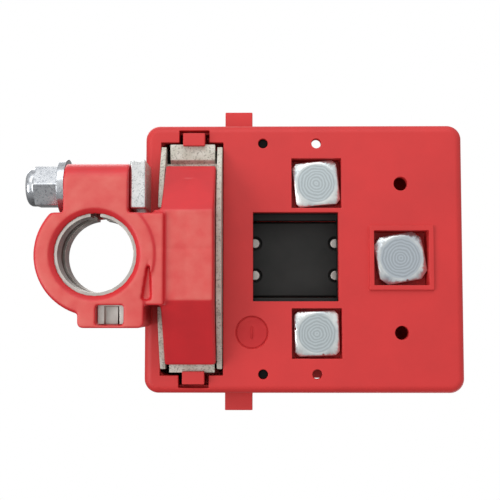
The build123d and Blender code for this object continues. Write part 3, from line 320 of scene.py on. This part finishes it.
def build_finish(name, low, high, roughness, metallic=0.0, tone_scale=90.0, grain_scale=2600.0, grain=0.012,
                 roughness_spread=0.06, fleck=None, fleck_scale=1500.0, chalk=None, turned=None, **sockets):
    """A finish whose colour drifts between two tones, with a fine grain in its gloss and relief.

    fleck is the colour of small specks, and chalk the tone of the faces that the attribute of that name
    marks: a second mould texture on the base's date disc, and painted sheen on the jacket's faces that look
    straight down. turned is the place and the disc radius of lathe rings."""
    material = bpy.data.materials.new(name)
    material.use_nodes = True
    nodes, links = material.node_tree.nodes, material.node_tree.links
    shader = nodes["Principled BSDF"]
    shader.inputs["Metallic"].default_value = metallic
    for socket, value in sockets.items():
        shader.inputs[socket.replace("_", " ")].default_value = value
    place = nodes.new("ShaderNodeTexCoord").outputs["Object"]

    tone = range_node(nodes, links, noise_node(nodes, links, place, tone_scale), 0.3, 0.7)
    colour = mix_node(nodes, links, tone, low, high)
    fine = noise_node(nodes, links, place, grain_scale, 3.0, 0.6)
    smooth, rough = roughness - roughness_spread, roughness + roughness_spread
    gloss = range_node(nodes, links, fine, 0.0, 1.0, smooth, rough)
    # The marked faces take a second tone. On the base it is a real mould texture; on the jacket it is painted
    # sheen.
    if chalk is not None:
        layer = nodes.new("ShaderNodeAttribute")
        layer.attribute_name = "chalk"
        patches = range_node(nodes, links, noise_node(nodes, links, place, 230.0, 5.0), 0.3, 0.7, 0.45, 1.0)
        share = math_node(nodes, links, "MULTIPLY", layer.outputs["Fac"], patches)
        colour = mix_node(nodes, links, share, colour, chalk)
        gloss = math_node(nodes, links, "MULTIPLY_ADD", layer.outputs["Fac"], 0.15, gloss)
    if turned is not None:
        rings, outside = turned_rings(nodes, links, place, *turned)
        disc = mix_node(nodes, links, rings, shade(low, 0.86), shade(low, 1.14))
        colour = mix_node(nodes, links, outside, disc, colour)
    if fleck is not None:
        specks = range_node(nodes, links, noise_node(nodes, links, place, fleck_scale, 2.0), 0.54, 0.64)
        colour = mix_node(nodes, links, specks, colour, fleck)
    links.new(colour, shader.inputs["Base Color"])
    links.new(gloss, shader.inputs["Roughness"])
    relief = nodes.new("ShaderNodeBump")
    relief.inputs["Strength"].default_value = 1.0
    relief.inputs["Distance"].default_value = grain * MM
    links.new(fine, relief.inputs["Height"])
    links.new(relief.outputs["Normal"], shader.inputs["Normal"])
    return material


FINISHES = {}


def finish(slot):
    """The finish of a material slot, made on first use."""
    if slot not in FINISHES:
        colours = bpy.context.scene.battery_switch_colours
        red = tuple(colours.red)
        jacket = tuple(colours.jacket)
        recipes = {
            "red_pbt": dict(low=shade(red, 0.95), high=shade(red, 1.05), roughness=0.55, grain=0.02,
                            chalk=(0.50, 0.010, 0.014)),
            # The jacket's paler second tone is painted sheen, laid on the faces that look straight down
            # toward the bright light.
            "jacket_red": dict(low=shade(jacket, 0.92), high=shade(jacket, 1.06), roughness=0.42, grain=0.010,
                               tone_scale=120.0, chalk=(0.64, 0.105, 0.086), Specular_IOR_Level=0.6),
            "knob_red": dict(low=shade(red, 0.93), high=shade(red, 1.04), roughness=0.42, grain=0.012),
            "black_plastic": dict(low=(0.009, 0.010, 0.009), high=(0.019, 0.019, 0.018), roughness=0.5,
                                  grain=0.012, Specular_IOR_Level=0.3),
            "black_inside": dict(low=(0.002, 0.002, 0.002), high=(0.004, 0.004, 0.004), roughness=0.6,
                                 grain=0.012, Specular_IOR_Level=0.1),
            "mark_white": dict(low=(0.72, 0.72, 0.70), high=(0.80, 0.80, 0.78), roughness=0.5, grain=0.004),
            # Dark brown for the band's groove: painted shadow and reflection, not a tarnish.
            "groove_shade_brown": dict(low=(0.045, 0.022, 0.018), high=(0.11, 0.060, 0.045), roughness=0.5,
                                 metallic=0.3, tone_scale=300.0, grain=0.02),
            "fuse_orange": dict(low=(0.72, 0.20, 0.02), high=(0.80, 0.26, 0.03), roughness=0.3, grain=0.004,
                                Transmission_Weight=0.35),
            "zinc_plated": dict(low=(0.70, 0.71, 0.71), high=(0.90, 0.91, 0.90), roughness=0.30, metallic=1.0,
                                tone_scale=160.0, grain=0.010, roughness_spread=0.1, fleck=(0.52, 0.54, 0.54),
                                fleck_scale=2400.0),
            "zinc_dull": dict(low=(0.46, 0.48, 0.51), high=(0.66, 0.68, 0.70), roughness=0.26, metallic=1.0,
                              tone_scale=300.0, grain=0.010, roughness_spread=0.08, fleck=(0.36, 0.38, 0.41),
                              fleck_scale=2000.0),
            "output_head": dict(low=(0.44, 0.49, 0.53), high=(0.84, 0.87, 0.85), roughness=0.30, metallic=0.9,
                                tone_scale=240.0, grain=0.010, turned=(OUTPUT_STUD_X, 0.0, 5.5)),
            "side_heads": dict(low=(0.50, 0.56, 0.58), high=(0.86, 0.89, 0.87), roughness=0.30, metallic=0.9,
                               tone_scale=240.0, grain=0.010, turned=(SIDE_STUD_X, SIDE_STUD_Y, 5.1)),
            "tray_steel": dict(low=(0.50, 0.48, 0.40), high=(0.66, 0.65, 0.58), roughness=0.50, metallic=0.12,
                               tone_scale=420.0, grain=0.02, roughness_spread=0.12, fleck=(0.34, 0.33, 0.28),
                               fleck_scale=1900.0),
            "tinned_brass": dict(low=(0.42, 0.38, 0.35), high=(0.62, 0.59, 0.55), roughness=0.38,
                                 metallic=1.0,
                                 tone_scale=220.0, grain=0.014),
            "tinned_copper": dict(low=(0.62, 0.60, 0.57), high=(0.76, 0.75, 0.73), roughness=0.32,
                                  metallic=1.0,
                                  tone_scale=200.0, grain=0.01),
            "copper": dict(low=(0.72, 0.33, 0.20), high=(0.86, 0.44, 0.29), roughness=0.34, metallic=1.0,
                           tone_scale=180.0, grain=0.01),
            "silver": dict(low=(0.80, 0.79, 0.76), high=(0.92, 0.91, 0.89), roughness=0.25, metallic=1.0,
                           grain=0.006),
            "brass": dict(low=(0.66, 0.48, 0.20), high=(0.80, 0.62, 0.31), roughness=0.30, metallic=1.0,
                          grain=0.008),
            "spring_steel": dict(low=(0.50, 0.50, 0.51), high=(0.66, 0.66, 0.67), roughness=0.28,
                                 metallic=1.0,
                                 grain=0.006),
            "nylon": dict(low=(0.60, 0.60, 0.60), high=(0.70, 0.70, 0.70), roughness=0.38, grain=0.006),
            "rubber": dict(low=(0.012, 0.012, 0.012), high=(0.022, 0.022, 0.022), roughness=0.75,
                           grain=0.014),
        }
        FINISHES[slot] = build_finish(slot, **recipes[slot])
    return FINISHES[slot]


# ---- Settings ----------------------------------------------------------------------------------------------
class BatterySwitchSizes(bpy.types.PropertyGroup):
    """Sizes that may be changed without touching the frame."""

    metal_edge: FloatProperty(
        name="Metal edge", description="Rounding on the edges of the clamp band and the arm",
        default=0.12 * MM, min=0.0, unit="LENGTH",
    )


class BatterySwitchColours(bpy.types.PropertyGroup):
    """Colours that may be changed."""

    red: FloatVectorProperty(
        name="Red", description="Colour of the red moulded pieces", subtype="COLOR",
        default=(0.59, 0.024, 0.024), min=0.0, max=1.0, size=3,
    )
    jacket: FloatVectorProperty(
        name="Jacket red", description="Colour of the clamp's jacket", subtype="COLOR",
        default=(0.60, 0.012, 0.018), min=0.0, max=1.0, size=3,
    )


class PieceOperator:
    """What every building step shares."""

    bl_options = {"REGISTER", "UNDO"}

    def execute(self, context):
        self.build(context.scene.battery_switch_sizes)
        return {"FINISHED"}


def jacket_marks(bm):
    """Sink lines on the plateau, a dimple on the front flank, and a paler tone painted on the faces that look
    straight down, as sheen from the light below.
    """
    chalk = bm.verts.layers.float.new("chalk")
    bm.normal_update()
    for vert in bm.verts:
        # Painted sheen: faces that look straight down are marked for a paler, pinker tone, as if they caught
        # the bright light below.
        vert[chalk] = min(1.0, max(0.0, (-vert.normal.z - 0.90) / 0.09))
        x, y, z = vert.co
        if x < 15.0 or z > 9.0:
            continue
        if abs(y) < 10.6:
            across = math.exp(-((y + 1.5) / 0.7) ** 2)
            along = math.exp(-((x - SWITCH_X) / 0.8) ** 2)
            vert.co.z += 0.09 * across + 0.05 * along
        dimple = math.exp(-((x - SWITCH_X) ** 2 + (y + 20.0) ** 2) / 1.4)
        vert.co.z += 0.25 * dimple


class BATTERYSWITCH_OT_clamp(PieceOperator, bpy.types.Operator):
    """Build the clamp band, its red jacket and its fasteners"""

    bl_idname = "battery_switch.clamp"
    bl_label = "Clamp"

    def build(self, sizes):
        metal = sizes.metal_edge / MM
        moulded("clamp_jacket", "jacket", 0.34, 4, finish("jacket_red"), shape=jacket_marks)
        softened("clamp_band", "band", metal, finish("tinned_brass"))
        softened("arm_conductor", "arm", metal, finish("tinned_copper"))
        self.groove_shade_lining()
        softened("clamp_bolt", "bolt", 0.1, finish("zinc_plated"))
        softened("clamp_washer", "bolt_washer", 0.2, finish("zinc_dull"))
        moulded("clamp_nut", "bolt_nut", 0.13, 3, finish("zinc_dull"))
        softened("clamp_nut_insert", "bolt_nut_insert", 0.05, finish("nylon"))

    def groove_shade_lining(self):
        """A dark brown sheet on the floor of the band's inner groove, open at the band's slit: painted shadow
        and reflection in the groove.
        """
        bm = bmesh.new()
        ring = [bm.verts.new((GROOVE_R, 0.0, height)) for height in (GROOVE_Z0, GROOVE_Z1)]
        edge = bm.edges.new(ring)
        bmesh.ops.rotate(bm, cent=(0, 0, 0), matrix=Matrix.Rotation(GROOVE_START, 3, "Z"), verts=ring)
        bmesh.ops.spin(
            bm, geom=[*ring, edge], cent=(0, 0, 0), axis=(0, 0, 1), dvec=(0, 0, 0), angle=GROOVE_SWEEP,
            steps=72, use_merge=False, use_duplicate=False,
        )
        bmesh.ops.solidify(bm, geom=bm.faces[:], thickness=0.08)
        bmesh.ops.recalc_face_normals(bm, faces=bm.faces)
        new_piece(bm, "band_groove", "clamp_band", finish("groove_shade_brown"))


class BATTERYSWITCH_OT_tray(PieceOperator, bpy.types.Operator):
    """Build the steel tray under the base"""

    bl_idname = "battery_switch.tray"
    bl_label = "Tray"

    def build(self, sizes):
        softened("contact_tray", "tray", 0.2, finish("tray_steel"))
        softened("tray_screws", "tray_fixings", 0.15, finish("zinc_plated"))


class BATTERYSWITCH_OT_base(PieceOperator, bpy.types.Operator):
    """Build the base moulding and the plates that it carries"""

    bl_idname = "battery_switch.base"
    bl_label = "Base"

    def build(self, sizes):
        softened("base_housing", "base", 0.18, finish("red_pbt"), shape=self.disc_tone)
        softened("fuse_cradle", "cradle", 0.15, finish("black_plastic"))
        softened("insulating_plate", "insulator", 0.2, finish("black_inside"))
        softened("threaded_inserts", "inserts", 0.1, finish("brass"))
        softened("supply_busbar", "busbar", 0.15, finish("tinned_copper"))
        softened("busbar_screws", "busbar_fixings", 0.15, finish("zinc_plated"))

    def disc_tone(self, bm):
        """Marks the date disc, which has its own mould texture."""
        chalk = bm.faces.layers.float.new("chalk")
        for face in bm.faces:
            at = face.calc_center_median()
            face[chalk] = math.hypot(at.x - DISC_X, at.y - DISC_Y) < DISC_R and at.z < DISC_TOP


class BATTERYSWITCH_OT_terminals(PieceOperator, bpy.types.Operator):
    """Build the three terminal studs with their washers and nuts"""

    bl_idname = "battery_switch.terminals"
    bl_label = "Terminals"

    def build(self, sizes):
        softened("output_stud", "stud_output", 0.1, finish("output_head"),
                 shape=lambda bm: cut_thread(bm, OUTPUT_STUD_X, 0.0, *OUTPUT_THREAD))
        softened("side_studs", "studs_side", 0.1, finish("side_heads"),
                 shape=self.side_threads)
        for node, name in (
            ("output_washer", "washer_output"), ("output_nut", "nut_output"),
            ("side_washers", "washers_side"), ("side_nuts", "nuts_side"),
        ):
            softened(node, name, 0.12, finish("zinc_plated"))

    def side_threads(self, bm):
        """Threads on the two side studs."""
        for y in (-SIDE_STUD_Y, SIDE_STUD_Y):
            cut_thread(bm, SIDE_STUD_X, y, *SIDE_THREAD)


class BATTERYSWITCH_OT_fuses(PieceOperator, bpy.types.Operator):
    """Build the main fuse and the two side fuses"""

    bl_idname = "battery_switch.fuses"
    bl_label = "Fuses"

    def build(self, sizes):
        softened("main_fuse_body", "fuse_body", 0.2, finish("black_plastic"))
        softened("main_fuse_cap", "fuse_cap", 0.2, finish("black_plastic"))
        softened("main_fuse_strip", "fuse_strip", 0.12, finish("tinned_copper"))
        softened("main_fuse_rivets", "fuse_rivets", 0.3, finish("tinned_brass"))
        softened("side_fuse_strips", "side_strips", 0.12, finish("tinned_copper"))
        softened("side_fuse_bodies", "side_bodies", 0.2, finish("fuse_orange"))


class BATTERYSWITCH_OT_drive(PieceOperator, bpy.types.Operator):
    """Build the rotor, contacts, springs and detent of the switch"""

    bl_idname = "battery_switch.drive"
    bl_label = "Switch drive"

    def build(self, sizes):
        for node, name, slot, width in (
            ("fixed_contacts", "contacts_fixed", "silver", 0.1),
            ("rotor", "drive_rotor", "black_plastic", 0.15),
            ("contact_bridge", "bridge", "copper", 0.15),
            ("bridge_tips", "contacts_moving", "silver", 0.1),
            ("detent_balls", "balls", "spring_steel", 0.0),
            ("spindle_seal", "seal", "rubber", 0.0),
        ):
            softened(node, name, width, finish(slot))
        self.springs()

    def springs(self):
        """Wound springs in place of the plain tubes."""
        bm = bmesh.new()
        low, high = box_of("bridge_spring")
        coil(bm, SWITCH_X, 0.0, 2.7, 0.5, low.z, high.z, 3.0)
        spring = new_piece(bm, "spring_bridge", "bridge_spring", finish("spring_steel"))
        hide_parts("bridge_spring")
        bm = bmesh.new()
        low, high = box_of("detent_springs")
        for x in (low.x + 1.35, high.x - 1.35):
            coil(bm, x, 0.0, 1.1, 0.22, low.z, high.z, 4.0)
        springs = new_piece(bm, "springs_detent", "detent_springs", finish("spring_steel"))
        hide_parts("detent_springs")


class BATTERYSWITCH_OT_knob(PieceOperator, bpy.types.Operator):
    """Build the knob with its screw and cap"""

    bl_idname = "battery_switch.knob"
    bl_label = "Knob"

    def build(self, sizes):
        softened("knob", "knob_grip", 0.2, finish("knob_red"))
        self.pointer()
        softened("knob_screw", "knob_fixing", 0.12, finish("zinc_plated"))
        softened("knob_cap", "knob_plug", 0.2, finish("black_plastic"))

    def pointer(self):
        """White index line down the knob's skirt, under the front end of its grip."""
        bm = bmesh.new()
        add_box(bm, SWITCH_X - 0.7, SWITCH_X + 0.7, -13.62, -12.6, 48.3, 50.4, ease=0.1)
        new_piece(bm, "knob_pointer", "knob", finish("mark_white"))


class BATTERYSWITCH_OT_housing(PieceOperator, bpy.types.Operator):
    """Build the switch housing and its screws"""

    bl_idname = "battery_switch.housing"
    bl_label = "Switch housing"

    def build(self, sizes):
        softened("switch_housing", "housing", 0.25, finish("black_plastic"),
                 where=lambda at: at.z > 45.5)
        softened("housing_screws", "housing_fixings", 0.12, finish("zinc_plated"))
        self.position_marks()

    def position_marks(self):
        """Raised bar for on and raised ring for off, where the knob's pointer stops."""
        bm = bmesh.new()
        add_box(bm, SWITCH_X - 0.45, SWITCH_X + 0.45, -18.6, -15.2, ROOF_Z - 0.2, ROOF_Z + 0.25, ease=0.08)
        new_piece(bm, "mark_on", "switch_housing", finish("mark_white"))
        bm = bmesh.new()
        outline = ((0.4, -0.35), (0.4, 0.25), (0.85, 0.25), (0.85, -0.35))
        profile = [bm.verts.new((OFF_MARK_X + out, 0.0, ROOF_Z + up)) for out, up in outline]
        edges = [bm.edges.new((profile[index - 1], profile[index])) for index in range(4)]
        bmesh.ops.spin(
            bm, geom=profile + edges, cent=(OFF_MARK_X, 0.0, 0.0), axis=(0, 0, 1), dvec=(0, 0, 0),
            angle=math.tau, steps=32, use_merge=True, use_duplicate=False,
        )
        bmesh.ops.recalc_face_normals(bm, faces=bm.faces)
        new_piece(bm, "mark_off", "switch_housing", finish("mark_white"))


class BATTERYSWITCH_OT_cover(PieceOperator, bpy.types.Operator):
    """Build the hinged fuse cover, its pins and its latches"""

    bl_idname = "battery_switch.cover"
    bl_label = "Fuse cover"

    def build(self, sizes):
        softened("fuse_cover", "cover_shell", 0.25, finish("red_pbt"))
        softened("cover_hinge_pin", "hinge_pin", 0.2, finish("zinc_plated"))
        softened("latch_pins", "latch_pivots", 0.1, finish("zinc_plated"))
        for node, name, side in (
            ("cover_latch_front", "latch_front_arm", -1), ("cover_latch_rear", "latch_rear_arm", 1),
        ):
            softened(node, name, 0.2, finish("red_pbt"), shape=self.latch_ridges(node, side))

    def latch_ridges(self, node, side):
        """Three grip ridges across the outside of a latch's tongue."""
        low, high = box_of(node)

        def ridges(bm):
            face_y = side * LATCH_FACE_Y
            y0, y1 = sorted((face_y - side * 0.3, face_y + side * 0.35))
            for z in RIDGE_HEIGHTS:
                add_box(bm, low.x + 1.6, high.x - 1.4, y0, y1, z - 0.3, z + 0.3, ease=0.12)

        return ridges


# ---- Stage -------------------------------------------------------------------------------------------------
def area_light(name, place, size, power):
    """A soft square light that faces the middle of the stage, in millimetres and watts."""
    data = bpy.data.lights.new(name, "AREA")
    data.shape = "SQUARE"
    data.size = size * MM
    data.energy = power
    lamp = bpy.data.objects.new(name, data)
    place, target = Vector(place) * MM, Vector(STAGE_CENTRE) * MM
    lamp.location = place
    lamp.rotation_mode = "QUATERNION"
    lamp.rotation_quaternion = (target - place).to_track_quat("-Z", "Y")
    bpy.context.scene.collection.objects.link(lamp)


class BATTERYSWITCH_OT_stage(PieceOperator, bpy.types.Operator):
    """Build the floor, the lights, the surroundings and the camera"""

    bl_idname = "battery_switch.stage"
    bl_label = "Stage"

    def build(self, sizes):
        scene = bpy.context.scene
        scene.view_settings.view_transform = "Standard"
        self.floor()
        self.surroundings(scene)
        area_light("light_under_front", (0.0, -360.0, -340.0), 380.0, 0.75)
        area_light("light_under_side", (-330.0, 60.0, -300.0), 260.0, 1.0)
        area_light("light_above_front", (-180.0, -330.0, 460.0), 420.0, 1.6)
        area_light("light_above_rear", (330.0, 300.0, 330.0), 420.0, 1.2)
        self.camera(scene)

    def floor(self):
        """A wide floor that is clear from below, so that the underside can be seen."""
        low = MODEL_BOX[0] / MM
        bm = bmesh.new()
        bmesh.ops.create_grid(bm, x_segments=1, y_segments=1, size=FLOOR_HALF)
        bmesh.ops.translate(bm, vec=(STAGE_CENTRE[0], 0.0, low.z - FLOOR_GAP), verts=bm.verts)
        bmesh.ops.transform(bm, matrix=Matrix.Scale(MM, 4), verts=bm.verts)
        mesh = bpy.data.meshes.new("floor")
        bm.to_mesh(mesh)
        bm.free()
        plane = bpy.data.objects.new("floor", mesh)
        bpy.context.scene.collection.objects.link(plane)
        plane.visible_diffuse = plane.visible_glossy = plane.visible_transmission = False
        plane.visible_shadow = False
        material = bpy.data.materials.new("floor_paint")
        material.use_nodes = True
        nodes, links = material.node_tree.nodes, material.node_tree.links
        paint = nodes["Principled BSDF"]
        paint.inputs["Base Color"].default_value = (0.82, 0.82, 0.82, 1.0)
        paint.inputs["Roughness"].default_value = 0.7
        clear = nodes.new("ShaderNodeBsdfTransparent")
        side = nodes.new("ShaderNodeNewGeometry")
        mix = nodes.new("ShaderNodeMixShader")
        links.new(side.outputs["Backfacing"], mix.inputs["Fac"])
        links.new(paint.outputs["BSDF"], mix.inputs[1])
        links.new(clear.outputs["BSDF"], mix.inputs[2])
        links.new(mix.outputs["Shader"], nodes["Material Output"].inputs["Surface"])
        mesh.materials.append(material)

    def surroundings(self, scene):
        """A plain white backdrop, and a softer light that only the object receives."""
        world = bpy.data.worlds.new("surroundings")
        world.use_nodes = True
        scene.world = world
        nodes, links = world.node_tree.nodes, world.node_tree.links
        seen = nodes["Background"]
        seen.inputs["Color"].default_value = (1.0, 1.0, 1.0, 1.0)
        seen.inputs["Strength"].default_value = 1.0
        lit = nodes.new("ShaderNodeBackground")
        lit.inputs["Strength"].default_value = SURROUNDINGS_STRENGTH
        path = nodes.new("ShaderNodeLightPath")
        mix = nodes.new("ShaderNodeMixShader")
        links.new(path.outputs["Is Camera Ray"], mix.inputs["Fac"])
        links.new(lit.outputs["Background"], mix.inputs[1])
        links.new(seen.outputs["Background"], mix.inputs[2])
        links.new(mix.outputs["Shader"], nodes["World Output"].inputs["Surface"])
        links.new(self.sky(nodes, links), lit.inputs["Color"])

    def sky(self, nodes, links):
        """Bright to the front and below, dimmer to the rear and above."""
        place = nodes.new("ShaderNodeTexCoord")
        toward = nodes.new("ShaderNodeVectorMath")
        toward.operation = "DOT_PRODUCT"
        toward.inputs[1].default_value = BRIGHT_SIDE
        links.new(place.outputs["Generated"], toward.inputs[0])
        return range_node(nodes, links, toward.outputs["Value"], -1.0, 1.0, 0.15, 1.35)

    def camera(self, scene):
        """A camera that looks up at the underside, with the front of the object at the top."""
        data = bpy.data.cameras.new("camera")
        data.sensor_width = 36.0
        data.lens = CAMERA_LENS
        data.clip_start, data.clip_end = 0.01, 10.0
        camera = bpy.data.objects.new("camera", data)
        place, target = Vector(CAMERA_PLACE) * MM, Vector(CAMERA_TARGET) * MM
        forward = (target - place).normalized()
        right = forward.cross(Vector((0.0, -1.0, 0.0))).normalized()
        up = right.cross(forward)
        turn = Matrix((right, up, -forward)).transposed()
        camera.matrix_world = Matrix.Translation(place) @ turn.to_4x4()
        scene.collection.objects.link(camera)
        scene.camera = camera


# ---- Panel and registration --------------------------------------------------------------------------------
STEPS = (
    BATTERYSWITCH_OT_clamp, BATTERYSWITCH_OT_tray, BATTERYSWITCH_OT_base, BATTERYSWITCH_OT_terminals,
    BATTERYSWITCH_OT_fuses, BATTERYSWITCH_OT_drive, BATTERYSWITCH_OT_knob, BATTERYSWITCH_OT_housing,
    BATTERYSWITCH_OT_cover, BATTERYSWITCH_OT_stage,
)


class BATTERYSWITCH_PT_steps(bpy.types.Panel):
    """Lists the building steps and the settings"""

    bl_idname = "BATTERYSWITCH_PT_steps"
    bl_label = "Battery switch"
    bl_space_type = "VIEW_3D"
    bl_region_type = "UI"
    bl_category = "Battery switch"

    def draw(self, context):
        for settings in (context.scene.battery_switch_sizes, context.scene.battery_switch_colours):
            for name in settings.__annotations__:
                self.layout.prop(settings, name)
        for step in STEPS:
            self.layout.operator(step.bl_idname)


CLASSES = (BatterySwitchSizes, BatterySwitchColours, *STEPS, BATTERYSWITCH_PT_steps)


def register():
    """Adds the classes and the settings."""
    for item in CLASSES:
        bpy.utils.register_class(item)
    bpy.types.Scene.battery_switch_sizes = PointerProperty(type=BatterySwitchSizes)
    bpy.types.Scene.battery_switch_colours = PointerProperty(type=BatterySwitchColours)


def unregister():
    """Removes the settings and the classes."""
    del bpy.types.Scene.battery_switch_colours
    del bpy.types.Scene.battery_switch_sizes
    for item in reversed(CLASSES):
        bpy.utils.unregister_class(item)


def main():
    """Builds every piece and the stage."""
    register()
    for step in STEPS:
        group, name = step.bl_idname.split(".")
        getattr(getattr(bpy.ops, group), name)()


if __name__ == "__main__":
    main()
